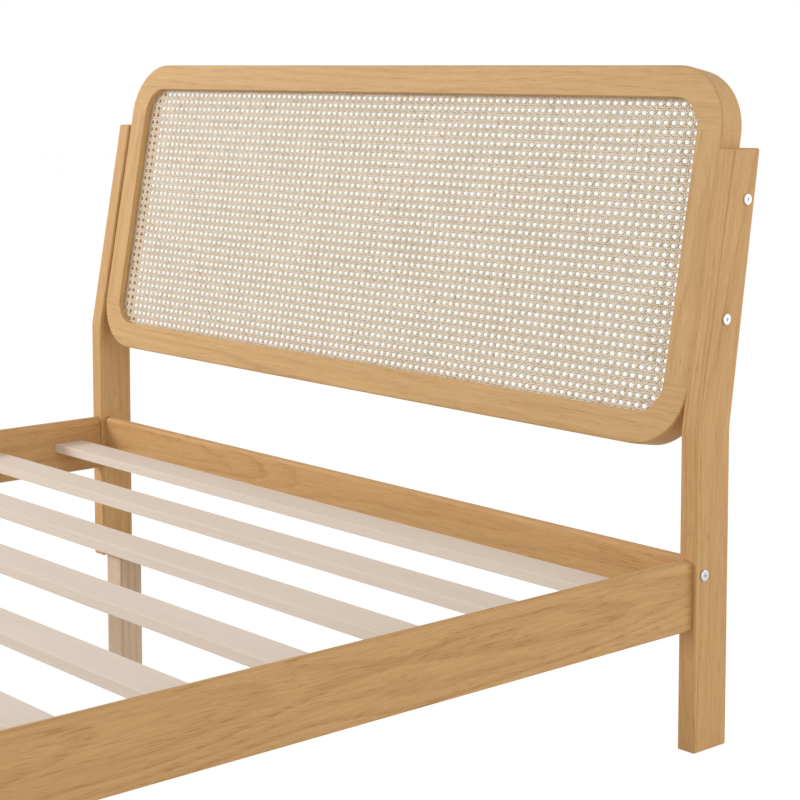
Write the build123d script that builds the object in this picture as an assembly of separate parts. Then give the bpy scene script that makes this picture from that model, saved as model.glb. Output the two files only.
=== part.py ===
from build123d import *
import math
import os

# A double bed with a leaning cane headboard, in millimetres.
# X runs across the bed, +Y towards the head and +Z up from the floor.
# It is laid out with Y = 0 on the front faces of the head posts, and centred at the end.

# Mattress and the well that holds it
mattress_width = 1400.0
mattress_length = 2000.0
mattress_side_gap = 4.5
mattress_end_gap = 30.0

# Rails, all four of one thickness and level at the top
rail_thickness = 15.0
side_rail_height = 95.0
end_rail_height = 87.0        # head and foot rails
side_rail_bottom = 166.0
rail_top_round = 7.0
rail_bottom_round = 3.0
end_rail_setback = 8.0        # head and foot rails, outside the faces that the side rails meet

# Head posts and foot legs
post_width = 29.0
post_depth = 65.0
post_top_depth = 52.0
post_height = 800.0
post_bend_height = 433.0
post_bend_radius = 80.0
post_edge_round = 2.5
post_inner_step = 6.0         # posts stand this far into the well, past the side rails' inner faces
foot_leg_rise = 3.0           # foot legs, above the rails
lean_angle = 10.4

# Headboard, measured in its own leaning plane
board_setback = 4.0           # its face, behind the fronts of the leaning posts
board_side_gap = 0.3
board_thickness = 42.0
board_height = 517.0
board_drop = 31.0             # its lower edge, below the bend of the posts
board_frame_width = 44.0
board_corner_radius = 89.0
board_edge_round = 3.0
board_opening_round = 1.5

# Cane webbing, pressed into a groove behind the lip of the frame
lip_thickness = 11.0
rebate_width = 14.0
groove_offset = 4.0
groove_width = 6.0
groove_depth = 5.0
cane_thickness = 1.5
cane_gap = 0.1
spline_proud = 1.0
spline_round = 0.6

# Openings of the webbing, far fewer than it is woven with, and open to about the same share
mesh_columns = 12
mesh_rows = 4
mesh_band = 53.0              # left between one opening and the next

# Slats, held in mortises in the side rails
slat_width = 58.0
slat_thickness = 15.0
slat_top = 222.5
slat_pitch = 172.5            # about, so that the slats fill the length evenly
slat_end_gap = 38.0           # from the posts to the first slat, and at the foot
slat_edge_round = 1.0
mortise_depth = 8.0
mortise_gap = 0.3

# Centre legs, each under one slat
centre_leg_size = 36.0
centre_leg_every = 3          # slats from one centre leg to the next
centre_leg_round = 2.0
stud_radius = 4.0
stud_in_leg = 28.0
stud_in_slat = 9.0
slat_nut_radius = 6.0
slat_nut_length = 10.0

# Bolts and their nuts
bolt_radius = 3.0
bolt_hole_gap = 0.3
thread_gap = 0.05
bolt_past_nut = 1.0           # shank beyond the far side of a barrel nut
bolt_head_radius = 7.5
bolt_head_height = 2.6
bolt_head_round = 1.1
socket_across = 4.0
socket_depth = 1.8
barrel_radius = 5.0
barrel_length = 11.0
nut_gap = 0.1
end_rail_barrel_setback = 35.0
barrel_wall = 3.7             # wood between a barrel nut and the first mortise
board_nut_radius = 5.0
board_nut_length = 14.0
board_bolt_length = 40.0

# Where the bolts and dowels sit in a rail, from the middle of the side rails' height
side_bolt_rise = 0.0
side_dowel_rises = (-29.0, 14.0)
end_bolt_rise = 26.5
end_dowel_rise = -14.0

# Where the headboard bolts sit: height above the bend along the lean, and depth behind the face
board_bolts = ((151.0, 22.5), (312.0, 33.0))

# Dowels
dowel_radius = 4.0
dowel_length = 40.0
dowel_gap = 0.1
dowel_chamfer = 1.0
board_dowel_depths = (15.0, 31.0)
board_dowel_inset = 15.0      # from the board's side

# Floor glides
glide_radius = 11.0
glide_height = 3.0
glide_proud = 1.0
glide_round = 0.8

# For the making of the shapes
flat_between_rounds = 1.0     # least flat left between the two rounded edges of a narrow face
close_to = 0.01               # how near an edge lies to the place that it is picked by

# Worked out from the sizes above
well_width = mattress_width + 2 * mattress_side_gap
rail_length = mattress_length + mattress_end_gap
rail_top = side_rail_bottom + side_rail_height
rail_middle = side_rail_bottom + side_rail_height / 2
post_inner_x = well_width / 2 - post_inner_step
post_outer_x = post_inner_x + post_width
side_rail_x = well_width / 2 + rail_thickness / 2
end_rail_y = end_rail_setback + rail_thickness / 2
slat_underside = slat_top - slat_thickness
slat_run = rail_length - 2 * slat_end_gap - slat_width
slat_count = round(slat_run / slat_pitch) + 1
slat_step = slat_run / (slat_count - 1)
side_rail_barrel_setback = slat_end_gap - mortise_gap - barrel_wall - barrel_radius
bolt_tip = barrel_radius + bolt_past_nut
leaned = Plane(
    origin=(0, board_setback * math.cos(math.radians(lean_angle)),
            post_bend_height - board_setback * math.sin(math.radians(lean_angle))),
    x_dir=(1, 0, 0),
    z_dir=(0, -math.cos(math.radians(lean_angle)), math.sin(math.radians(lean_angle))),
)
board_half_width = post_inner_x - board_side_gap
board_bottom_u = -board_drop
board_top_u = board_height - board_drop
board_middle_u = (board_bottom_u + board_top_u) / 2

right, left = 1, -1


def aim(point, direction):
    """A place at point whose own Z axis runs along direction."""
    return Plane(origin=point, z_dir=direction).location


def rod(point, direction, radius, length):
    """A round bar or hole that starts at point and runs along direction."""
    bar = Cylinder(radius, length, align=(Align.CENTER, Align.CENTER, Align.MIN))
    return aim(point, direction) * bar


def mirrored(shape, side):
    """The shape itself on the right side, or its mirror image on the left."""
    return shape if side == right else mirror(shape, about=Plane.YZ)


def at_foot(shape):
    """The mirror image of a shape at the head end, at the foot end of the side rails."""
    return mirror(shape, about=Plane.XZ.offset(rail_length / 2))


# Fasteners

def bolt(point, direction, length):
    """A bolt whose head rests at point and whose shank runs along direction."""
    head = Cylinder(bolt_head_radius, bolt_head_height, align=(Align.CENTER, Align.CENTER, Align.MAX))
    head = fillet(head.edges().sort_by(Axis.Z)[:1], bolt_head_round)
    socket = extrude(RegularPolygon(socket_across / 2, 6, major_radius=False), amount=socket_depth)
    shank = Cylinder(bolt_radius, length, align=(Align.CENTER, Align.CENTER, Align.MIN))
    body = head + shank - Pos(0, 0, -bolt_head_height) * socket
    return aim(point, direction) * body


def bolt_hole(point, direction, length):
    return rod(point, direction, bolt_radius + bolt_hole_gap, length)


def barrel_nut(centre, axis, bolt_direction):
    """A round nut across the bolt, with its threaded hole through the middle."""
    body = aim(centre, axis) * Cylinder(barrel_radius, barrel_length)
    thread = aim(centre, bolt_direction) * Cylinder(bolt_radius + thread_gap, 4 * barrel_radius)
    return body - thread


def barrel_hole(centre, axis):
    """A blind hole that comes in from the rail's face along axis and ends under the nut."""
    start = Vector(*centre) + Vector(*axis) * rail_thickness
    return rod(start, Vector(*axis) * -1, barrel_radius + nut_gap, rail_thickness + barrel_length / 2 + nut_gap)


def dowel(centre, direction):
    pin = Cylinder(dowel_radius, dowel_length)
    pin = chamfer(pin.edges().filter_by(GeomType.CIRCLE), dowel_chamfer)
    return aim(centre, direction) * pin


def dowel_hole(centre, direction):
    """A hole for both ends of a dowel, cut in each of the two pieces that it joins."""
    return aim(centre, direction) * Cylinder(dowel_radius + dowel_gap, dowel_length + 2 * dowel_gap)


# Places of the fasteners of one corner, on the right side at the head

def side_bolt_start():
    return (side_rail_x, post_depth, rail_middle + side_bolt_rise)


def side_barrel_centre():
    return (side_rail_x, -side_rail_barrel_setback, rail_middle + side_bolt_rise)


def side_dowel_centres():
    return [(side_rail_x, 0, rail_middle + rise) for rise in side_dowel_rises]


def end_bolt_start():
    return (post_outer_x, end_rail_y, rail_middle + end_bolt_rise)


def end_barrel_centre():
    return (post_inner_x - end_rail_barrel_setback, end_rail_y, rail_middle + end_bolt_rise)


def end_dowel_centre():
    return (post_inner_x, end_rail_y, rail_middle + end_dowel_rise)


def board_point(across, up, depth):
    """A point of the headboard: across the bed, up along the lean, and behind its face."""
    return leaned.from_local_coords((across, up, -depth))


side_bolt_length = post_depth + side_rail_barrel_setback + bolt_tip
end_bolt_length = post_width + end_rail_barrel_setback + bolt_tip
toward_foot, toward_head = (0, -1, 0), (0, 1, 0)
inward, outward = (-1, 0, 0), (1, 0, 0)


def corner_cuts():
    """Every hole and recess that the rails' fasteners need in one post and its rails."""
    cuts = [bolt_hole(side_bolt_start(), toward_foot, side_bolt_length + bolt_hole_gap)]
    cuts += [bolt_hole(end_bolt_start(), inward, end_bolt_length + bolt_hole_gap)]
    cuts += [dowel_hole(centre, toward_head) for centre in side_dowel_centres()]
    cuts += [dowel_hole(end_dowel_centre(), outward)]
    return cuts


def end_frame(shapes):
    """Shapes of the right corner at the head, copied to all four corners."""
    right_pair = shapes + [at_foot(shape) for shape in shapes]
    return right_pair + [mirrored(shape, left) for shape in right_pair]


# Posts, legs and glides

def glide_recess(x, y):
    pocket = Cylinder(glide_radius + nut_gap, glide_height, align=(Align.CENTER, Align.CENTER, Align.MIN))
    return Pos(x, y, 0) * pocket


def glide(x, y):
    disc = Cylinder(glide_radius, glide_height, align=(Align.CENTER, Align.CENTER, Align.MIN))
    disc = fillet(disc.edges().filter_by(GeomType.CIRCLE).sort_by(Axis.Z)[:1], glide_round)
    return Pos(x, y, 0) * disc


def post_outline():
    """The side view of a head post, on the YZ plane."""
    top_front = math.tan(math.radians(lean_angle)) * (post_height - post_bend_height)
    outline = make_face(Polyline(
        (0, glide_proud), (0, post_bend_height), (top_front, post_height),
        (top_front + post_top_depth, post_height), (post_depth, post_bend_height),
        (post_depth, glide_proud), close=True))
    bends = [v for v in outline.vertices() if abs(v.Y - post_bend_height) < close_to]
    return fillet(bends, post_bend_radius)


def head_post():
    post = Pos(post_inner_x, 0, 0) * extrude(Plane.YZ * post_outline(), amount=post_width)
    level = post.edges().filter_by(Axis.X)
    at_bend = [e for e in level if glide_proud + close_to < e.center().Z < post_height - close_to]
    post = fillet([e for e in post.edges() if e not in at_bend], post_edge_round)
    for cut in corner_cuts():
        post -= cut
    for up, depth in board_bolts:
        post -= bolt_hole(board_bolt_start(up, depth), inward, board_bolt_length)
    return post - glide_recess(post_inner_x + post_width / 2, post_depth / 2)


def foot_leg():
    height = rail_top + foot_leg_rise - glide_proud
    leg = Box(post_width, post_depth, height, align=(Align.MIN, Align.MIN, Align.MIN))
    leg = fillet(leg.edges(), post_edge_round)
    leg = Pos(post_inner_x, 0, glide_proud) * leg
    for cut in corner_cuts():
        leg -= cut
    leg -= glide_recess(post_inner_x + post_width / 2, post_depth / 2)
    return at_foot(leg)


# Rails

def rail_bar(length, height):
    """A rail that runs along Y from the origin to -length, with its upper edges at the rails' top."""
    bar = Pos(0, 0, rail_top) * Box(
        rail_thickness, length, height, align=(Align.CENTER, Align.MAX, Align.MAX))
    long_edges = bar.edges().filter_by(Axis.Y).sort_by(Axis.Z)
    largest_round = (rail_thickness - flat_between_rounds) / 2
    bar = fillet(long_edges[-2:], min(rail_top_round, largest_round))
    long_edges = bar.edges().filter_by(Axis.Y).sort_by(Axis.Z)
    return fillet(long_edges[:2], min(rail_bottom_round, largest_round))


def slat_front_y(number):
    """The edge of a slat that is nearer the foot. Slats count from one at the head."""
    return -slat_end_gap - slat_width - (number - 1) * slat_step


def slat_middle_y(number):
    return slat_front_y(number) + slat_width / 2


def mortise(number):
    """The pocket for one slat end, in the inner face of the right side rail."""
    pocket = Box(
        2 * mortise_depth, slat_width + 2 * mortise_gap, slat_thickness + mortise_gap,
        align=(Align.CENTER, Align.CENTER, Align.MIN))
    return Pos(well_width / 2, slat_middle_y(number), slat_underside) * pocket


def side_rail():
    rail = Pos(side_rail_x, 0, 0) * rail_bar(rail_length, side_rail_height)
    head_cuts = corner_cuts() + [barrel_hole(side_barrel_centre(), inward)]
    for cut in head_cuts:
        rail = rail - cut - at_foot(cut)
    for number in range(1, slat_count + 1):
        rail -= mortise(number)
    return rail


def head_rail():
    length = 2 * post_inner_x
    rail = Pos(length / 2, end_rail_y, 0) * Rot(0, 0, -90) * rail_bar(length, end_rail_height)
    cuts = corner_cuts() + [barrel_hole(end_barrel_centre(), toward_head)]
    for cut in cuts:
        rail = rail - cut - mirrored(cut, left)
    return rail


# Slats and centre legs

def has_centre_leg(number):
    return number % centre_leg_every == 0 and number < slat_count


def slat(number):
    bar = Box(
        well_width + 2 * (mortise_depth - mortise_gap), slat_width, slat_thickness,
        align=(Align.CENTER, Align.CENTER, Align.MIN))
    bar = fillet(bar.edges().filter_by(Axis.X), slat_edge_round)
    bar = Pos(0, slat_middle_y(number), slat_underside) * bar
    if has_centre_leg(number):
        base = (0, slat_middle_y(number), slat_underside)
        bar -= rod(base, (0, 0, 1), slat_nut_radius + nut_gap, slat_nut_length + nut_gap)
    return bar


def centre_leg(number):
    height = slat_underside - glide_proud
    leg = Box(centre_leg_size, centre_leg_size, height, align=(Align.CENTER, Align.CENTER, Align.MIN))
    leg = fillet(leg.edges().filter_by(Axis.Z), centre_leg_round)
    leg = Pos(0, slat_middle_y(number), glide_proud) * leg
    leg -= rod((0, slat_middle_y(number), slat_underside), (0, 0, -1),
               stud_radius + nut_gap, stud_in_leg + nut_gap)
    return leg - glide_recess(0, slat_middle_y(number))


def stud(number):
    base = (0, slat_middle_y(number), slat_underside - stud_in_leg)
    return rod(base, (0, 0, 1), stud_radius, stud_in_leg + stud_in_slat)


def slat_nut(number):
    base = (0, slat_middle_y(number), slat_underside)
    ring = rod(base, (0, 0, 1), slat_nut_radius, slat_nut_length)
    return ring - rod(base, (0, 0, 1), stud_radius + thread_gap, slat_nut_length)


# Headboard, drawn in its own plane and then leaned

def rounded_window(grow, low, high):
    """A rounded slab as large as the headboard grown by an offset, from one depth to another."""
    sketch = Pos(0, board_middle_u) * RectangleRounded(
        2 * (board_half_width + grow), board_height + 2 * grow, board_corner_radius + grow)
    return Pos(0, 0, -high) * extrude(sketch, amount=high - low)


def ring(inner, outer, low, high):
    """A closed band that follows the opening, between two offsets from its edge."""
    opening = -board_frame_width
    return rounded_window(opening + outer, low, high) - rounded_window(opening + inner, low, high)


def board_frame():
    """The whole frame of the headboard, before it is parted into rails and stiles."""
    frame = rounded_window(0, 0, board_thickness)
    frame = fillet(frame.edges(), board_edge_round)
    frame -= rounded_window(-board_frame_width, 0, board_thickness)
    front_edges = [e for e in frame.edges() if abs(e.center().Z) < close_to]
    opening_half = board_half_width - board_frame_width + close_to
    opening_rise = board_height / 2 - board_frame_width + close_to
    around_opening = [e for e in front_edges if abs(e.center().X) < opening_half
                      and abs(e.center().Y - board_middle_u) < opening_rise]
    frame = fillet(around_opening, board_opening_round)
    frame -= rounded_window(rebate_width - board_frame_width, lip_thickness, board_thickness)
    return frame - ring(groove_offset, groove_offset + groove_width, lip_thickness - groove_depth, lip_thickness)


joint_low_u = board_bottom_u + board_corner_radius
joint_high_u = board_top_u - board_corner_radius


def board_dowel_centres():
    across = board_half_width - board_dowel_inset
    return [(side * across, up, -depth) for side in (right, left)
            for up in (joint_low_u, joint_high_u) for depth in board_dowel_depths]


def between(low_u, high_u):
    """A block that holds every part of the board between two heights."""
    return Pos(0, (low_u + high_u) / 2, -board_thickness / 2) * Box(
        4 * board_half_width, high_u - low_u, 4 * board_thickness)


def board_bolt_start(up, depth):
    place = board_point(0, up, depth)
    return (post_outer_x, place.Y, place.Z)


def board_nut_start(up, depth):
    place = board_point(board_half_width, up, depth)
    return (place.X, place.Y, place.Z)


def board_piece(low_u, high_u):
    """The frame between two heights, with its dowel and nut holes, in its leaning place."""
    piece = board_frame() & between(low_u, high_u)
    for centre in board_dowel_centres():
        piece -= dowel_hole(centre, (0, 1, 0))
    piece = leaned.location * piece
    for up, depth in board_bolts:
        hole = rod(board_nut_start(up, depth), inward, board_nut_radius + nut_gap, board_nut_length + nut_gap)
        piece = piece - hole - mirrored(hole, left)
    return piece


def board_nut(up, depth):
    body = rod(board_nut_start(up, depth), inward, board_nut_radius, board_nut_length)
    return body - bolt_thread(up, depth)


def bolt_thread(up, depth):
    return rod(board_bolt_start(up, depth), inward, bolt_radius + thread_gap, 2 * board_bolt_length)


def mesh_openings():
    """A plain grid of openings, over the part of the webbing that shows."""
    step_across = 2 * (board_half_width - board_frame_width) / mesh_columns
    step_up = (board_height - 2 * board_frame_width) / mesh_rows
    opening = Rectangle(step_across - mesh_band, step_up - mesh_band)
    places = GridLocations(step_across, step_up, mesh_columns, mesh_rows)
    grid = Sketch() + [place * opening for place in places]
    return Pos(0, board_middle_u, -lip_thickness - cane_thickness) * extrude(grid, amount=cane_thickness)


def cane_webbing():
    """The open sheet, with its edge turned into the groove."""
    edge_in = groove_offset + cane_gap
    edge_out = edge_in + cane_thickness
    sheet = rounded_window(edge_out - board_frame_width, lip_thickness, lip_thickness + cane_thickness)
    sheet -= mesh_openings()
    sheet += ring(edge_in, edge_out, lip_thickness - groove_depth + cane_gap, lip_thickness)
    return leaned.location * sheet


def cane_spline():
    """The reed that wedges the edge of the webbing in its groove."""
    inner = groove_offset + cane_thickness + 2 * cane_gap
    outer = groove_offset + groove_width - cane_gap
    front = lip_thickness - groove_depth + cane_gap
    rear = lip_thickness + cane_thickness + spline_proud
    reed = ring(inner, outer, front, rear)
    rear_edges = [e for e in reed.edges() if abs(e.center().Z + rear) < close_to]
    return leaned.location * fillet(rear_edges, spline_round)


# Every node of the bed, by name

def both_sides(shapes):
    return shapes + [mirrored(shape, left) for shape in shapes]


def wooden_pieces():
    stiles = board_piece(joint_low_u, joint_high_u).solids().sort_by(Axis.X)
    nodes = {
        "right_head_post": head_post(),
        "right_foot_leg": foot_leg(),
        "right_side_rail": side_rail(),
        "head_rail": head_rail(),
        "headboard_bottom_rail": board_piece(board_bottom_u - board_thickness, joint_low_u),
        "headboard_top_rail": board_piece(joint_high_u, board_top_u + board_thickness),
        "headboard_left_stile": stiles[0],
        "headboard_right_stile": stiles[-1],
        "cane_webbing": cane_webbing(),
        "cane_spline": cane_spline(),
    }
    nodes["foot_rail"] = at_foot(nodes["head_rail"])
    for name in ("head_post", "foot_leg", "side_rail"):
        nodes["left_" + name] = mirrored(nodes["right_" + name], left)
    for number in range(1, slat_count + 1):
        nodes[f"slat_{number:02d}"] = slat(number)
    for place, number in enumerate(leg_numbers(), start=1):
        nodes[f"centre_leg_{place}"] = centre_leg(number)
    return nodes


def leg_numbers():
    return [number for number in range(1, slat_count + 1) if has_centre_leg(number)]


def fastener_groups():
    """Nodes that hold several like solids each."""
    side_bolt = bolt(side_bolt_start(), toward_foot, side_bolt_length)
    side_barrel = barrel_nut(side_barrel_centre(), inward, toward_foot)
    end_bolt = bolt(end_bolt_start(), inward, end_bolt_length)
    end_barrel = barrel_nut(end_barrel_centre(), toward_head, inward)
    side_dowels = [dowel(centre, toward_head) for centre in side_dowel_centres()]
    end_dowel = dowel(end_dowel_centre(), outward)
    glide_x, glide_y = post_inner_x + post_width / 2, post_depth / 2
    centre_glides = [glide(0, slat_middle_y(number)) for number in leg_numbers()]
    return {
        "headboard_bolts": both_sides(
            [bolt(board_bolt_start(up, depth), inward, board_bolt_length) for up, depth in board_bolts]),
        "headboard_insert_nuts": both_sides([board_nut(up, depth) for up, depth in board_bolts]),
        "headboard_dowels": [leaned.location * dowel(centre, (0, 1, 0)) for centre in board_dowel_centres()],
        "head_rail_bolts": both_sides([end_bolt]),
        "foot_rail_bolts": both_sides([at_foot(end_bolt)]),
        "side_rail_bolts": end_frame([side_bolt]),
        "rail_barrel_nuts": end_frame([side_barrel, end_barrel]),
        "rail_dowels": end_frame(side_dowels + [end_dowel]),
        "centre_leg_studs": [stud(number) for number in leg_numbers()],
        "slat_insert_nuts": [slat_nut(number) for number in leg_numbers()],
        "floor_glides": end_frame([glide(glide_x, glide_y)]) + centre_glides,
    }


def whole_bed():
    nodes = {name: [piece] for name, piece in wooden_pieces().items()}
    nodes.update(fastener_groups())
    solids = {name: [s for piece in pieces for s in piece.solids()] for name, pieces in nodes.items()}
    return {name: Compound(parts) if len(parts) > 1 else parts[0] for name, parts in solids.items()}


def main():
    bed = whole_bed()
    box = Compound(list(bed.values())).bounding_box()
    centred = Pos(0, -(box.min.Y + box.max.Y) / 2, 0)
    os.makedirs("parts", exist_ok=True)
    for name, shape in bed.items():
        export_step(centred * shape, f"parts/{name}.step")
    print("nodes", len(bed), "slats", slat_count, "centre legs", len(leg_numbers()))
    print("box", box.min, box.max, "moved along Y by", round(centred.position.Y, 3))


main()
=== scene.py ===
import math
import bpy
import bmesh
from mathutils import Euler, Matrix, Vector


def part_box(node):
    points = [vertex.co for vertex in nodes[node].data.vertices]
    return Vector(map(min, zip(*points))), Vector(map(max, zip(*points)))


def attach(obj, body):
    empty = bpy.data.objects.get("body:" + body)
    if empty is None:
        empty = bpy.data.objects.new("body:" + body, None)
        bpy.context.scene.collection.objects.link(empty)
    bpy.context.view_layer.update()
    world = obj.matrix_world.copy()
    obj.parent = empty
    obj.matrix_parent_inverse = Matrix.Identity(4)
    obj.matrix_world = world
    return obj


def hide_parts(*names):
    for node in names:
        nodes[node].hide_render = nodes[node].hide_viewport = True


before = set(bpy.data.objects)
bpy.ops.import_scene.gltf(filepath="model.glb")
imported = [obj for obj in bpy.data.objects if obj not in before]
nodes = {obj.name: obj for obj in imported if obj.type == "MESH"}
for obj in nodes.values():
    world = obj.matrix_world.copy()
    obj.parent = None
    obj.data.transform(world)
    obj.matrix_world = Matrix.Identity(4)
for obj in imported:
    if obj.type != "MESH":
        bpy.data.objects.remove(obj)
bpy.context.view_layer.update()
print("frame loaded", len(nodes), "nodes")

# The row frame: X across the bed, +Y to the head, Z up, in metres
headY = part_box("right_head_post")[0].y            # front faces of the head posts
lean = math.radians(10.4)                         # of the headboard and the upper posts, backwards
bendHeight = 0.433                                # where the posts start to lean
boardThickness = 0.042
acrossTheBed, alongTheBed, upward = (1, 0, 0), (0, 1, 0), (0, 0, 1)
upTheBoard = Vector((0, math.sin(lean), math.cos(lean)))
intoTheBoard = Vector((0, math.cos(lean), -math.sin(lean)))


# Helpers for shaders and objects

def srgb(red, green, blue):
    # a colour as it is seen, from 0 to 255, turned into the linear values of a shader
    def linear(value):
        value /= 255
        return value / 12.92 if value <= 0.04045 else ((value + 0.055) / 1.055) ** 2.4
    return (linear(red), linear(green), linear(blue), 1.0)


def plug(tree, socket, value):
    # a link where the value is another node's output, or else a fixed value
    if isinstance(value, bpy.types.NodeSocket):
        tree.links.new(value, socket)
    else:
        socket.default_value = value


def addNode(tree, kind, settings=None, **inputs):
    # inputs by name with spaces as underscores, or as n0, n1 and so on by their place
    node = tree.nodes.new(kind)
    for key, value in (settings or {}).items():
        setattr(node, key, value)
    for key, value in inputs.items():
        byPlace = key[0] == "n" and key[1:].isdigit()
        plug(tree, node.inputs[int(key[1:]) if byPlace else key.replace("_", " ")], value)
    return node


def mathNode(tree, operation, *values):
    node = tree.nodes.new("ShaderNodeMath")
    node.operation = operation
    for socket, value in zip(node.inputs, values):
        plug(tree, socket, value)
    return node.outputs[0]


def mixColour(tree, amount, first, second, clamped=True):
    node = addNode(tree, "ShaderNodeMix", {"data_type": "RGBA", "clamp_factor": clamped},
                   n0=amount, n6=first, n7=second)
    return node.outputs[2]


def noise(tree, vector, detail, roughness):
    node = addNode(tree, "ShaderNodeTexNoise", Vector=vector, Scale=1.0, Detail=detail, Roughness=roughness)
    return node.outputs[0]


def pattern(tree, place, cells, detail, roughness):
    # noise with its own number of cells per metre along each axis
    finer = addNode(tree, "ShaderNodeMapping", Vector=place, Scale=cells).outputs[0]
    return noise(tree, finer, detail, roughness)


def ramp(tree, value, low, high):
    # from nought to one as the value goes from low to high, eased at both ends
    node = addNode(tree, "ShaderNodeMapRange", {"interpolation_type": "SMOOTHSTEP"}, Value=value,
                   From_Min=low, From_Max=high)
    return node.outputs[0]


def newGroup(name, inputs, outputs):
    group = bpy.data.node_groups.new(name, "ShaderNodeTree")
    for direction, sockets in (("INPUT", inputs), ("OUTPUT", outputs)):
        for label, kind in sockets.items():
            group.interface.new_socket(label, in_out=direction, socket_type="NodeSocket" + kind)
    return group, group.nodes.new("NodeGroupInput"), group.nodes.new("NodeGroupOutput")


def emptyTree(owner):
    owner.use_nodes = True
    owner.node_tree.nodes.clear()
    return owner.node_tree


def newMaterial(name):
    material = bpy.data.materials.new(name)
    tree = emptyTree(material)
    shader = tree.nodes.new("ShaderNodeBsdfPrincipled")
    addNode(tree, "ShaderNodeOutputMaterial", Surface=shader.outputs[0])
    return material, tree, shader


def turnedPlace(tree, along, through, shift):
    # object coordinates turned so that X runs along the grain and Z through the thickness
    along, through = Vector(along), Vector(through)
    turn = Matrix((along, through.cross(along), through)).to_euler()
    place = tree.nodes.new("ShaderNodeTexCoord").outputs["Object"]
    return addNode(tree, "ShaderNodeMapping", Vector=place, Rotation=turn, Location=shift).outputs[0]


def coat(tree, shader, skin, bump, bumpHeight):
    # the colour, the roughness and the small relief that a node group gives
    plug(tree, shader.inputs["Base Color"], skin.outputs["Color"])
    plug(tree, shader.inputs["Roughness"], skin.outputs["Roughness"])
    relief = addNode(tree, "ShaderNodeBump", Strength=bump, Distance=bumpHeight,
                     Height=skin.outputs["Height"])
    plug(tree, shader.inputs["Normal"], relief.outputs[0])


def dress(piece, material):
    piece.data.materials.clear()
    piece.data.materials.append(material)


def addObject(name, data):
    made = bpy.data.objects.new(name, data)
    bpy.context.scene.collection.objects.link(made)
    return made


# Wood

# each pattern's cells per metre, along the grain and both ways across it, its detail and its roughness
woodPatterns = {
    "drift": ((2.2, 9, 9), 1.0, 0.5), "tremble": ((9, 60, 60), 2.0, 0.5),
    "broadFibre": ((7, 200, 200), 2.0, 0.6), "thinFibre": ((24, 640, 640), 3.0, 0.7),
    "pore": ((30, 620, 620), 1.0, 0.5), "cloud": ((3, 22, 22), 2.0, 0.5),
}
woodTones = {
    "tremble": 0.12,                                 # share of the wander
    "lateStart": 0.35, "lateEnd": 0.9,               # part of a ring where it darkens
    "faintestRing": 0.4,
    "thinFibre": 0.6,                                # the broad fibres have the rest
    "poreStart": 0.64, "poreInLateWood": -0.06, "poreEdge": 0.06,
    "cloud": 0.25, "middle": 0.3,                    # slow changes of tone, and what they go about
    "least": -0.4, "most": 1.6,                      # darkness beyond the pale and the dark colour
    "rough": 0.62, "roughInDark": -0.08,
    "fibreDip": -0.5, "poreDip": -1.0, "bumpHeight": 0.001,
    "specular": 0.35,
}


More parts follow.
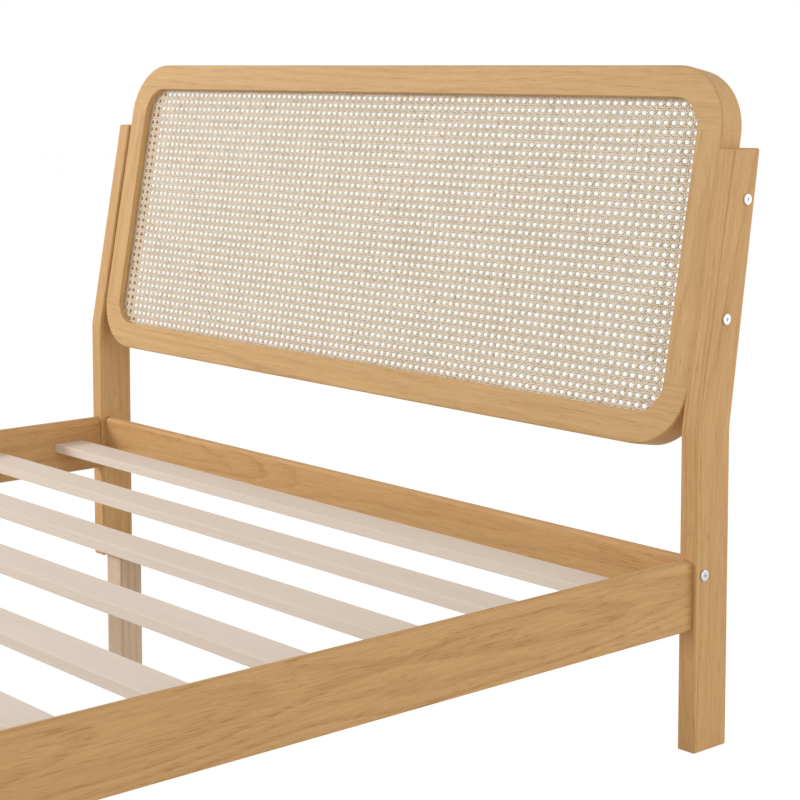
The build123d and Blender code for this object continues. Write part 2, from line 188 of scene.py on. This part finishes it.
def makeWoodGroup(patterns, tones):
    # growth rings about a heart beside the board, fine fibres, short dark pores and slow changes of tone
    tree, given, made = newGroup(
        "woodGrain",
        {"Vector": "Vector", "Pale": "Color", "Dark": "Color", "Ring Width": "Float", "Figure": "Float",
         "Fibre": "Float", "Pores": "Float", "Wander": "Float", "Heart Depth": "Float", "Taper": "Float"},
        {"Color": "Color", "Roughness": "Float", "Height": "Float"})
    place = given.outputs["Vector"]
    xyz = addNode(tree, "ShaderNodeSeparateXYZ", Vector=place)

    # the rings drift slowly along the board, and tremble a little
    slow = mathNode(tree, "SUBTRACT", pattern(tree, place, *patterns["drift"]), 0.5)
    tremble = mathNode(tree, "SUBTRACT", pattern(tree, place, *patterns["tremble"]), 0.5)
    wander = given.outputs["Wander"]
    drift = mathNode(tree, "MULTIPLY_ADD", slow, wander, mathNode(
        tree, "MULTIPLY", tremble, mathNode(tree, "MULTIPLY", wander, tones["tremble"])))
    depth = mathNode(tree, "ADD", xyz.outputs["Z"], given.outputs["Heart Depth"])
    radius = mathNode(tree, "SQRT", mathNode(
        tree, "ADD", mathNode(tree, "POWER", xyz.outputs["Y"], 2.0), mathNode(tree, "POWER", depth, 2.0)))
    tapered = mathNode(tree, "MULTIPLY_ADD", xyz.outputs["X"], given.outputs["Taper"], radius)
    ringPlace = mathNode(tree, "DIVIDE", mathNode(tree, "ADD", tapered, drift), given.outputs["Ring Width"])
    withinRing = mathNode(tree, "FRACT", ringPlace)
    lateWood = mathNode(tree, "MULTIPLY", ramp(tree, withinRing, tones["lateStart"], tones["lateEnd"]),
                        ramp(tree, withinRing, 1.0, tones["lateEnd"]))
    ringTone = addNode(tree, "ShaderNodeTexWhiteNoise", {"noise_dimensions": "1D"},
                       W=mathNode(tree, "FLOOR", ringPlace)).outputs["Value"]
    rings = mathNode(tree, "MULTIPLY", lateWood, mathNode(
        tree, "MULTIPLY_ADD", ringTone, 1 - tones["faintestRing"], tones["faintestRing"]))

    # fibres flow with the rings: long thin streaks at two widths
    flowing = addNode(tree, "ShaderNodeCombineXYZ", X=xyz.outputs["X"],
                      Y=mathNode(tree, "ADD", xyz.outputs["Y"], drift),
                      Z=mathNode(tree, "ADD", xyz.outputs["Z"], drift)).outputs[0]
    broad = pattern(tree, flowing, *patterns["broadFibre"])
    thin = pattern(tree, flowing, *patterns["thinFibre"])
    fibres = mathNode(tree, "MULTIPLY_ADD", thin, tones["thinFibre"],
                      mathNode(tree, "MULTIPLY", broad, 1 - tones["thinFibre"]))
    fibres = mathNode(tree, "MULTIPLY", mathNode(tree, "SUBTRACT", fibres, 0.5), given.outputs["Fibre"])

    # pores: short dark dashes, more of them in the late wood
    dashes = pattern(tree, flowing, *patterns["pore"])
    threshold = mathNode(tree, "MULTIPLY_ADD", rings, tones["poreInLateWood"], tones["poreStart"])
    pores = ramp(tree, mathNode(tree, "SUBTRACT", dashes, threshold), 0.0, tones["poreEdge"])
    pores = mathNode(tree, "MULTIPLY", pores, given.outputs["Pores"])

    # all of it together, with slow changes of tone
    cloud = mathNode(tree, "SUBTRACT", pattern(tree, place, *patterns["cloud"]), 0.5)
    darkness = mathNode(tree, "MULTIPLY_ADD", rings, given.outputs["Figure"], fibres)
    darkness = mathNode(tree, "ADD", darkness,
                        mathNode(tree, "MULTIPLY_ADD", cloud, tones["cloud"], tones["middle"]))
    darkness = mathNode(tree, "ADD", darkness, pores)
    darkness = addNode(tree, "ShaderNodeClamp", Value=darkness, Min=tones["least"],
                       Max=tones["most"]).outputs[0]
    colour = mixColour(tree, darkness, given.outputs["Pale"], given.outputs["Dark"], clamped=False)
    plug(tree, made.inputs["Color"], colour)
    plug(tree, made.inputs["Roughness"],
         mathNode(tree, "MULTIPLY_ADD", darkness, tones["roughInDark"], tones["rough"]))
    poreDips = mathNode(tree, "MULTIPLY", pores, tones["poreDip"])
    plug(tree, made.inputs["Height"], mathNode(tree, "MULTIPLY_ADD", fibres, tones["fibreDip"], poreDips))
    return tree


woodGroup = makeWoodGroup(woodPatterns, woodTones)

# the frame's honey wood, the paler headboard, and the slats and centre legs, with how their grain is drawn
frameTimber = {"pale": srgb(218, 174, 117), "dark": srgb(176, 125, 69), "ringWidth": 0.0065, "figure": 0.26,
               "fibre": 1.4, "pores": 0.34, "wander": 0.03, "heartDepth": 0.06, "taper": 0.02, "bump": 0.12}
boardTimber = {"pale": srgb(220, 180, 123), "dark": srgb(176, 129, 73), "ringWidth": 0.0060, "figure": 0.22,
               "fibre": 1.3, "pores": 0.30, "wander": 0.02, "heartDepth": 0.06, "taper": 0.012, "bump": 0.12}
slatTimber = {"pale": srgb(240, 226, 212), "dark": srgb(222, 202, 182), "ringWidth": 0.012, "figure": 0.15,
              "fibre": 0.6, "pores": 0.1, "wander": 0.02, "heartDepth": 0.09, "taper": 0.01, "bump": 0.08}
legTimber = {"pale": srgb(240, 219, 194), "dark": srgb(208, 175, 140), "ringWidth": 0.010, "figure": 0.5,
             "fibre": 1.0, "pores": 0.2, "wander": 0.02, "heartDepth": 0.05, "taper": 0.01, "bump": 0.1}


def followTheLean(tree):
    # upper posts lean back, and their grain with them: the place is sheared forward above the bend
    place = tree.nodes.new("ShaderNodeTexCoord").outputs["Object"]
    xyz = addNode(tree, "ShaderNodeSeparateXYZ", Vector=place)
    above = mathNode(tree, "MAXIMUM", mathNode(tree, "SUBTRACT", xyz.outputs["Z"], bendHeight), 0.0)
    straight = mathNode(tree, "MULTIPLY_ADD", above, -math.tan(lean), xyz.outputs["Y"])
    upright = addNode(tree, "ShaderNodeCombineXYZ", X=xyz.outputs["X"], Y=straight, Z=xyz.outputs["Z"])
    return upright.outputs[0]


def woodMaterial(name, timber, along, through, shift, sheared=False):
    material, tree, shader = newMaterial(name)
    place = turnedPlace(tree, along, through, shift)
    if sheared:
        plug(tree, place.node.inputs["Vector"], followTheLean(tree))
    grain = addNode(
        tree, "ShaderNodeGroup", {"node_tree": woodGroup}, Vector=place, Pale=timber["pale"],
        Dark=timber["dark"], Ring_Width=timber["ringWidth"], Figure=timber["figure"],
        Fibre=timber["fibre"], Pores=timber["pores"], Wander=timber["wander"],
        Heart_Depth=timber["heartDepth"], Taper=timber["taper"])
    coat(tree, shader, grain, timber["bump"], woodTones["bumpHeight"])
    shader.inputs["Specular IOR Level"].default_value = woodTones["specular"]
    return material


# each wooden piece: its timber, the way of the grain, the way through its thickness and its place in the log
woodenPieces = {
    "right_side_rail": (frameTimber, alongTheBed, acrossTheBed, (0.3, -0.225, -0.71)),
    "left_side_rail": (frameTimber, alongTheBed, acrossTheBed, (3.1, -0.20, 0.71)),
    "head_rail": (frameTimber, acrossTheBed, alongTheBed, (5.2, 0.24, -0.98)),
    "foot_rail": (frameTimber, acrossTheBed, alongTheBed, (7.9, 0.23, 0.98)),
    "right_head_post": (frameTimber, upward, acrossTheBed, (1.4, 1.03, -0.70)),
    "left_head_post": (frameTimber, upward, acrossTheBed, (9.6, 1.01, 0.71)),
    "right_foot_leg": (frameTimber, upward, acrossTheBed, (11.2, -1.06, -0.70)),
    "left_foot_leg": (frameTimber, upward, acrossTheBed, (12.7, -1.08, 0.71)),
    "headboard_top_rail": (boardTimber, acrossTheBed, intoTheBoard, (14.3, 1.02, -0.85)),
    "headboard_bottom_rail": (boardTimber, acrossTheBed, intoTheBoard, (16.8, 0.56, -0.85)),
    "headboard_left_stile": (boardTimber, upTheBoard, intoTheBoard, (18.1, 0.66, -0.85)),
    "headboard_right_stile": (boardTimber, upTheBoard, intoTheBoard, (19.5, -0.69, -0.85)),
}
# each slat and each centre leg comes from another place in its log
slatPlaces = {"first": 2.0, "step": 0.37, "swing": 0.05, "swingStep": 2.1, "deeper": 0.01, "depths": 3}
legPlaces = {"first": 4.0, "step": 0.6, "aside": 0.02, "depth": 0.3}
dowelPlace, reedPlace = (1.0, 0.2, 0.1), (0.4, 0.1, 0.2)


def numbered(start):
    # the nodes with this start to their name and a number behind it, in order
    return sorted(name for name in nodes if name.startswith(start) and name[len(start):].isdigit())


def dressWood():
    for name, (timber, along, through, shift) in woodenPieces.items():
        leaning = name.endswith("head_post")
        dress(nodes[name], woodMaterial(name + "_wood", timber, along, through, shift, leaning))
    for number, name in enumerate(numbered("slat_")):
        start = slatPlaces["first"] + slatPlaces["step"] * number
        aside = slatPlaces["swing"] * math.sin(slatPlaces["swingStep"] * number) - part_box(name)[0].y
        shift = (start, aside, slatPlaces["deeper"] * (number % slatPlaces["depths"]))
        dress(nodes[name], woodMaterial(name + "_wood", slatTimber, acrossTheBed, upward, shift))
    for number, name in enumerate(numbered("centre_leg_")):
        start = legPlaces["first"] + legPlaces["step"] * number
        shift = (start, legPlaces["aside"] * number, legPlaces["depth"])
        dress(nodes[name], woodMaterial(name + "_wood", legTimber, upward, alongTheBed, shift))
    dowelWood = woodMaterial("dowelWood", legTimber, acrossTheBed, upward, dowelPlace)
    for name in ("rail_dowels", "headboard_dowels"):
        dress(nodes[name], dowelWood)
    dress(nodes["cane_spline"], woodMaterial("reed", legTimber, acrossTheBed, intoTheBoard, reedPlace))


dressWood()
print("wood made")


# Metal and plastic, with small uneven spots in the plating or the moulded skin

spottedKinds = {
    "platedSteel": {"fresh": srgb(214, 216, 220), "dull": srgb(188, 191, 197), "spotSize": 0.0015,
                    "smooth": 0.22, "metallic": 1.0, "bump": 0.15},
    "zincNut": {"fresh": srgb(196, 190, 168), "dull": srgb(168, 160, 140), "spotSize": 0.0018,
                "smooth": 0.32, "metallic": 1.0, "bump": 0.2},
    "glidePlastic": {"fresh": srgb(62, 58, 54), "dull": srgb(52, 49, 46), "spotSize": 0.0012,
                     "smooth": 0.5, "metallic": 0.0, "bump": 0.3},
}
spottedNodes = {
    "platedSteel": ("headboard_bolts", "head_rail_bolts", "foot_rail_bolts", "side_rail_bolts",
                    "centre_leg_studs"),
    "zincNut": ("rail_barrel_nuts", "headboard_insert_nuts", "slat_insert_nuts"),
    "glidePlastic": ("floor_glides",),
}
spotSettings = {"detail": 4.0, "roughness": 0.6, "start": 0.4, "end": 0.7, "roughSpread": 0.25,
                "bumpHeight": 0.0002}


def makeWearGroup(settings):
    tree, given, made = newGroup(
        "surfaceSpots",
        {"Vector": "Vector", "Fresh": "Color", "Dull": "Color", "Size": "Float", "Smooth": "Float"},
        {"Color": "Color", "Roughness": "Float", "Height": "Float"})
    scaled = addNode(tree, "ShaderNodeVectorMath", {"operation": "SCALE"}, n0=given.outputs["Vector"],
                     Scale=mathNode(tree, "DIVIDE", 1.0, given.outputs["Size"])).outputs[0]
    spots = noise(tree, scaled, settings["detail"], settings["roughness"])
    dullness = ramp(tree, spots, settings["start"], settings["end"])
    colour = mixColour(tree, dullness, given.outputs["Fresh"], given.outputs["Dull"])
    plug(tree, made.inputs["Color"], colour)
    plug(tree, made.inputs["Roughness"],
         mathNode(tree, "MULTIPLY_ADD", spots, settings["roughSpread"], given.outputs["Smooth"]))
    plug(tree, made.inputs["Height"], spots)
    return tree


wearGroup = makeWearGroup(spotSettings)


def spottedMaterial(name, kind):
    material, tree, shader = newMaterial(name)
    place = tree.nodes.new("ShaderNodeTexCoord").outputs["Object"]
    spots = addNode(tree, "ShaderNodeGroup", {"node_tree": wearGroup}, Vector=place, Fresh=kind["fresh"],
                    Dull=kind["dull"], Size=kind["spotSize"], Smooth=kind["smooth"])
    coat(tree, shader, spots, kind["bump"], spotSettings["bumpHeight"])
    shader.inputs["Metallic"].default_value = kind["metallic"]
    return material


for kindName, names in spottedNodes.items():
    spotted = spottedMaterial(kindName, spottedKinds[kindName])
    for name in names:
        dress(nodes[name], spotted)
print("metal made")


# Cane webbing, woven of flat strands: pairs up and across, and single ones both ways aslant

caneSettings = {
    "cellWide": 0.0140, "cellHigh": 0.0129,      # from one hole to the next
    "openHigh": 0.429,                           # the headboard's opening
    "cornerRadius": 0.045,
    "tuckedIn": 0.0053,                          # past the opening's edge, behind the lip
    "behindFace": 0.01195,                       # middle of the weave, behind the board's face
    "pairStep": 0.0036, "pairWidth": 0.0033, "slantWidth": 0.0034,
    "thick": 0.00055, "pairWave": 0.00028, "slantWave": 0.00052,
    "cornerCuts": 6, "cornerReach": 0.02,        # cuts round a corner, and how far before it they start
    "cutTolerance": 1e-7,
}
caneSkin = {
    "pale": srgb(247, 232, 209), "dark": srgb(200, 176, 143),
    # cells per metre, along the strand and across it, detail and roughness
    "strand": ((6, 150, 0), 1.0, 0.5), "fibre": ((60, 2600, 0), 2.0, 0.5),
    "stain": ((40, 90, 0), 3.0, 0.5),
    "strandTone": 1.5, "fibreTone": 0.6, "middle": 0.2,
    "stainStart": 0.55, "stainEnd": 0.8,
    "rough": 0.42, "roughInDark": 0.2,
    "bump": 0.2, "bumpHeight": 0.0003,
    "shift": (0.3, 0.2, 0.0),
}


def openStrand(shape, places, width, thick, side):
    # a flat strand with a lozenge section, along a list of places
    ring = bmesh.ops.create_circle(shape, segments=4, radius=0.5)["verts"]
    wayAlong = (places[1] - places[0]) * Vector((1, 0, 1))
    wayAlong.normalize()
    turn = Matrix((side, wayAlong.cross(side), wayAlong)).transposed().to_4x4()
    sized = Matrix.Diagonal((width, thick, 1, 1))
    bmesh.ops.transform(shape, matrix=Matrix.Translation(places[0]) @ turn @ sized, verts=ring)
    edges = list({edge for vert in ring for edge in vert.link_edges})
    for start, end in zip(places, places[1:]):
        made = bmesh.ops.extrude_edge_only(shape, edges=edges)["geom"]
        edges = [item for item in made if isinstance(item, bmesh.types.BMEdge)
                 and all(vert in made for vert in item.verts)]
        ring = [item for item in made if isinstance(item, bmesh.types.BMVert)]
        bmesh.ops.translate(shape, vec=end - start, verts=ring)


def allOf(shape):
    return shape.verts[:] + shape.edges[:] + shape.faces[:]


def repeatAlong(shape, step, copies):
    bmesh.ops.spin(shape, geom=allOf(shape), cent=(0, 0, 0), axis=(0, 0, 1), dvec=step, angle=0,
                   steps=copies, use_duplicate=True)


def cutToOpening(shape, settings, halfWide, halfHigh):
    # straight cuts at the four sides, then a few round each corner
    radius, reach = settings["cornerRadius"] + settings["tuckedIn"], settings["cornerReach"]

    def cut(geometry, place, way):
        return bmesh.ops.bisect_plane(
            shape, geom=geometry, dist=settings["cutTolerance"], plane_co=place, plane_no=way,
            clear_outer=True)["geom"]

    for place, way in (((halfWide, 0, 0), (1, 0, 0)), ((-halfWide, 0, 0), (-1, 0, 0)),
                       ((0, 0, halfHigh), (0, 0, 1)), ((0, 0, -halfHigh), (0, 0, -1))):
        cut(allOf(shape), place, way)
    for sideX in (1, -1):
        for sideZ in (1, -1):
            centre = Vector((sideX * (halfWide - radius), 0, sideZ * (halfHigh - radius)))
            near = {vert for vert in shape.verts
                    if sideX * (vert.co.x - centre.x) > -reach and sideZ * (vert.co.z - centre.z) > -reach}
            corner = list(near) + [edge for edge in shape.edges if near.issuperset(edge.verts)]
            corner += [face for face in shape.faces if near.issuperset(face.verts)]
            for number in range(1, settings["cornerCuts"] + 1):
                angle = math.radians(90) * number / (settings["cornerCuts"] + 1)
                way = Vector((sideX * math.cos(angle), 0, sideZ * math.sin(angle)))
                corner = [item for item in cut(corner, centre + way * radius, way) if item.is_valid]


def makeCaneGroup(skin):
    # the skin of cane: each strand its own tone, with fine fibres and now and then a darker stretch
    tree, given, made = newGroup(
        "caneSkin", {"Vector": "Vector", "Pale": "Color", "Dark": "Color"},
        {"Color": "Color", "Roughness": "Float", "Height": "Float"})
    place = given.outputs["Vector"]
    strand = pattern(tree, place, *skin["strand"])
    fibres = pattern(tree, place, *skin["fibre"])
    stains = pattern(tree, place, *skin["stain"])
    darkness = mathNode(tree, "MULTIPLY_ADD", mathNode(tree, "SUBTRACT", strand, 0.5), skin["strandTone"],
                        skin["middle"])
    darkness = mathNode(tree, "MULTIPLY_ADD", mathNode(tree, "SUBTRACT", fibres, 0.5), skin["fibreTone"],
                        darkness)
    darkness = mathNode(tree, "ADD", darkness, ramp(tree, stains, skin["stainStart"], skin["stainEnd"]))
    darkness = addNode(tree, "ShaderNodeClamp", Value=darkness).outputs[0]
    plug(tree, made.inputs["Color"], mixColour(tree, darkness, given.outputs["Pale"], given.outputs["Dark"]))
    plug(tree, made.inputs["Roughness"],
         mathNode(tree, "MULTIPLY_ADD", darkness, skin["roughInDark"], skin["rough"]))
    plug(tree, made.inputs["Height"], fibres)
    return tree


caneGroup = makeCaneGroup(caneSkin)


def caneMaterial(name, along, skin):
    material, tree, shader = newMaterial(name)
    place = turnedPlace(tree, along, intoTheBoard, skin["shift"])
    surface = addNode(tree, "ShaderNodeGroup", {"node_tree": caneGroup}, Vector=place, Pale=skin["pale"],
                      Dark=skin["dark"])
    coat(tree, shader, surface, skin["bump"], skin["bumpHeight"])
    return material


def finishCane(shape, name, along, settings, halfWide, halfHigh):
    cutToOpening(shape, settings, halfWide, halfHigh)
    bmesh.ops.holes_fill(shape, edges=[edge for edge in shape.edges if edge.is_boundary], sides=0)
    bmesh.ops.recalc_face_normals(shape, faces=shape.faces[:])
    topHigh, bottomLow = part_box("headboard_top_rail")[1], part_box("headboard_bottom_rail")[0]
    boardMiddle = Vector((0, (bottomLow.y + topHigh.y) / 2, (bottomLow.z + topHigh.z) / 2))
    middle = boardMiddle + intoTheBoard * (settings["behindFace"] - boardThickness / 2)
    leaned = Matrix.Translation(middle) @ Matrix.Rotation(-lean, 4, "X")
    bmesh.ops.transform(shape, matrix=leaned, verts=shape.verts[:])
    mesh = bpy.data.meshes.new(name)
    shape.to_mesh(mesh)
    shape.free()
    mesh.shade_smooth()
    piece = addObject(name, mesh)
    dress(piece, caneMaterial(name + "_skin", along, caneSkin))
    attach(piece, "root")
    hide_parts("cane_webbing")
    print(name, len(mesh.polygons), "faces")


def weaveCane(settings):
    wide, high = settings["cellWide"], settings["cellHigh"]
    halfWide = -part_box("headboard_left_stile")[1].x + settings["tuckedIn"]
    halfHigh = settings["openHigh"] / 2 + settings["tuckedIn"]
    columns, rows = math.ceil(halfWide / wide) + 1, math.ceil(halfHigh / high) + 1
    near, far = -settings["pairWave"], settings["pairWave"]    # the weave's face is towards the foot
    halfPair = settings["pairStep"] / 2

    # pairs that run up: the first of each pair lies over one cross strand and under the next
    shape = bmesh.new()
    for place, wave in ((-halfPair, (near, far)), (halfPair, (far, near))):
        places = []
        for row in range(-rows, rows):
            middle = (row + 0.5) * high
            places += [Vector((place, wave[0], middle - halfPair)),
                       Vector((place, wave[1], middle + halfPair)),
                       Vector((place, 0, middle + high / 2))]
        places = [place + Vector(((0.5 - columns) * wide, 0, 0)) for place in places]
        openStrand(shape, places, settings["pairWidth"], settings["thick"], Vector((1, 0, 0)))
    repeatAlong(shape, (wide, 0, 0), 2 * columns)
    finishCane(shape, "cane_strands_up", upTheBoard, settings, halfWide, halfHigh)

    # pairs that run across
    shape = bmesh.new()
    for place, wave in ((-halfPair, (far, near)), (halfPair, (near, far))):
        places = []
        for column in range(-columns, columns):
            middle = (column + 0.5) * wide
            places += [Vector((middle - halfPair, wave[0], place)),
                       Vector((middle + halfPair, wave[1], place)),
                       Vector((middle + wide / 2, 0, place))]
        places = [place + Vector((0, 0, (0.5 - rows) * high)) for place in places]
        openStrand(shape, places, settings["pairWidth"], settings["thick"], Vector((0, 0, 1)))
    repeatAlong(shape, (0, 0, high), 2 * rows)
    finishCane(shape, "cane_strands_across", acrossTheBed, settings, halfWide, halfHigh)

    # single strands aslant both ways, over the one kind of pair and under the other
    for name, side, wave in (("cane_strands_rising", 1, -settings["slantWave"]),
                             ("cane_strands_falling", -1, settings["slantWave"])):
        shape = bmesh.new()
        start = (0.5 - columns - (2 * rows if side == 1 else 0)) * wide
        places = [Vector((start + side * wide * quarter / 4, wave * math.cos(math.radians(90 * quarter)),
                          high * (quarter / 4 - rows))) for quarter in range(8 * rows + 1)]
        across = Vector((high, 0, -side * wide)).normalized()
        openStrand(shape, places, settings["slantWidth"], settings["thick"], across)
        repeatAlong(shape, (wide, 0, 0), 2 * columns + 2 * rows)
        slope = (Vector((side * wide, 0, 0)) + upTheBoard * high).normalized()
        finishCane(shape, name, slope, settings, halfWide, halfHigh)


weaveCane(caneSettings)
print("cane woven")


# Stage: floor, world, lamps and camera

stageSettings = {
    "floorSize": 40.0, "floorColour": srgb(222, 221, 219), "white": (1, 1, 1, 1),
    "floorGlow": 0.925,              # white that the camera sees, before the floor's own shading
    "floorShow": 0.2,                # share of that shading that the camera sees
    "skyStrength": 0.5,              # as light on the bed; the camera sees it full
}


def isSeen(tree):
    # one where the camera sees the surface straight, in a mirror or through glass
    rays = tree.nodes.new("ShaderNodeLightPath")
    seen = mathNode(tree, "MAXIMUM", rays.outputs["Is Camera Ray"], rays.outputs["Is Glossy Ray"])
    return mathNode(tree, "MAXIMUM", seen, rays.outputs["Is Transmission Ray"])


def makeFloor(settings):
    floorMesh = bpy.data.meshes.new("floor")
    shape = bmesh.new()
    bmesh.ops.create_grid(shape, x_segments=1, y_segments=1, size=settings["floorSize"] / 2)
    shape.to_mesh(floorMesh)
    shape.free()
    floor = addObject("floor", floorMesh)
    material = bpy.data.materials.new("floorPaint")
    tree = emptyTree(material)
    show = settings["floorShow"]
    diffuse = addNode(tree, "ShaderNodeBsdfDiffuse", Color=settings["floorColour"])
    glow = addNode(tree, "ShaderNodeEmission", Color=settings["white"],
                   Strength=settings["floorGlow"] / (1 - show))
    part = mathNode(tree, "MULTIPLY", isSeen(tree), 1 - show)
    mixed = addNode(tree, "ShaderNodeMixShader", n0=part, n1=diffuse.outputs[0], n2=glow.outputs[0])
    addNode(tree, "ShaderNodeOutputMaterial", Surface=mixed.outputs[0])
    dress(floor, material)


def makeWorld(settings):
    world = bpy.data.worlds.new("studio")
    tree = emptyTree(world)
    strength = addNode(tree, "ShaderNodeMapRange", Value=isSeen(tree),
                       To_Min=settings["skyStrength"], To_Max=1.0)
    background = addNode(tree, "ShaderNodeBackground", Color=settings["white"],
                         Strength=strength.outputs[0])
    addNode(tree, "ShaderNodeOutputWorld", Surface=background.outputs[0])
    bpy.context.scene.world = world


lamps = {
    "keyLamp": {"place": (-3.6, -2.7, 2.7), "aim": (0.0, 0.8, 0.4), "size": 1.8, "power": 165},
    "sideLamp": {"place": (4.6, 0.3, 1.6), "aim": (0.7, 0.9, 0.4), "size": 1.8, "power": 39},
    "backLamp": {"place": (3.0, 3.8, 1.1), "aim": (0.0, 1.1, 0.5), "size": 1.8, "power": 29},
}


def makeLamps(settings):
    for name, values in settings.items():
        data = bpy.data.lights.new(name, "AREA")
        data.shape = "SQUARE"
        data.size = values["size"]
        data.energy = values["power"]
        lamp = addObject(name, data)
        lamp.location = values["place"]
        way = Vector(values["aim"]) - Vector(values["place"])
        lamp.rotation_euler = way.to_track_quat("-Z", "Y").to_euler()


# The photograph's camera, worked out from its edges
cameraSettings = {
    "place": (2.3887, headY - 1.9765, 0.9087),
    "turn": 48.706,            # degrees to the left of the bed's length
    "dip": 5.018,              # degrees below level
    "focalPixels": 1981.53,
    "imageSide": 800,
    "shiftDown": 0.2,
    "sensorWidth": 36.0,       # millimetres
    "nearest": 0.05, "farthest": 100.0,
}


def makeCamera(settings):
    data = bpy.data.cameras.new("camera")
    data.sensor_width = settings["sensorWidth"]
    data.lens = data.sensor_width * settings["focalPixels"] / settings["imageSide"]
    data.shift_y = -settings["shiftDown"]
    data.clip_start, data.clip_end = settings["nearest"], settings["farthest"]
    camera = addObject("camera", data)
    camera.location = settings["place"]
    camera.rotation_euler = Euler((math.radians(90 - settings["dip"]), 0, math.radians(settings["turn"])))
    bpy.context.scene.camera = camera


makeFloor(stageSettings)
makeWorld(stageSettings)
makeLamps(lamps)
makeCamera(cameraSettings)
bpy.context.scene.view_settings.view_transform = "Standard"
print("stage made")
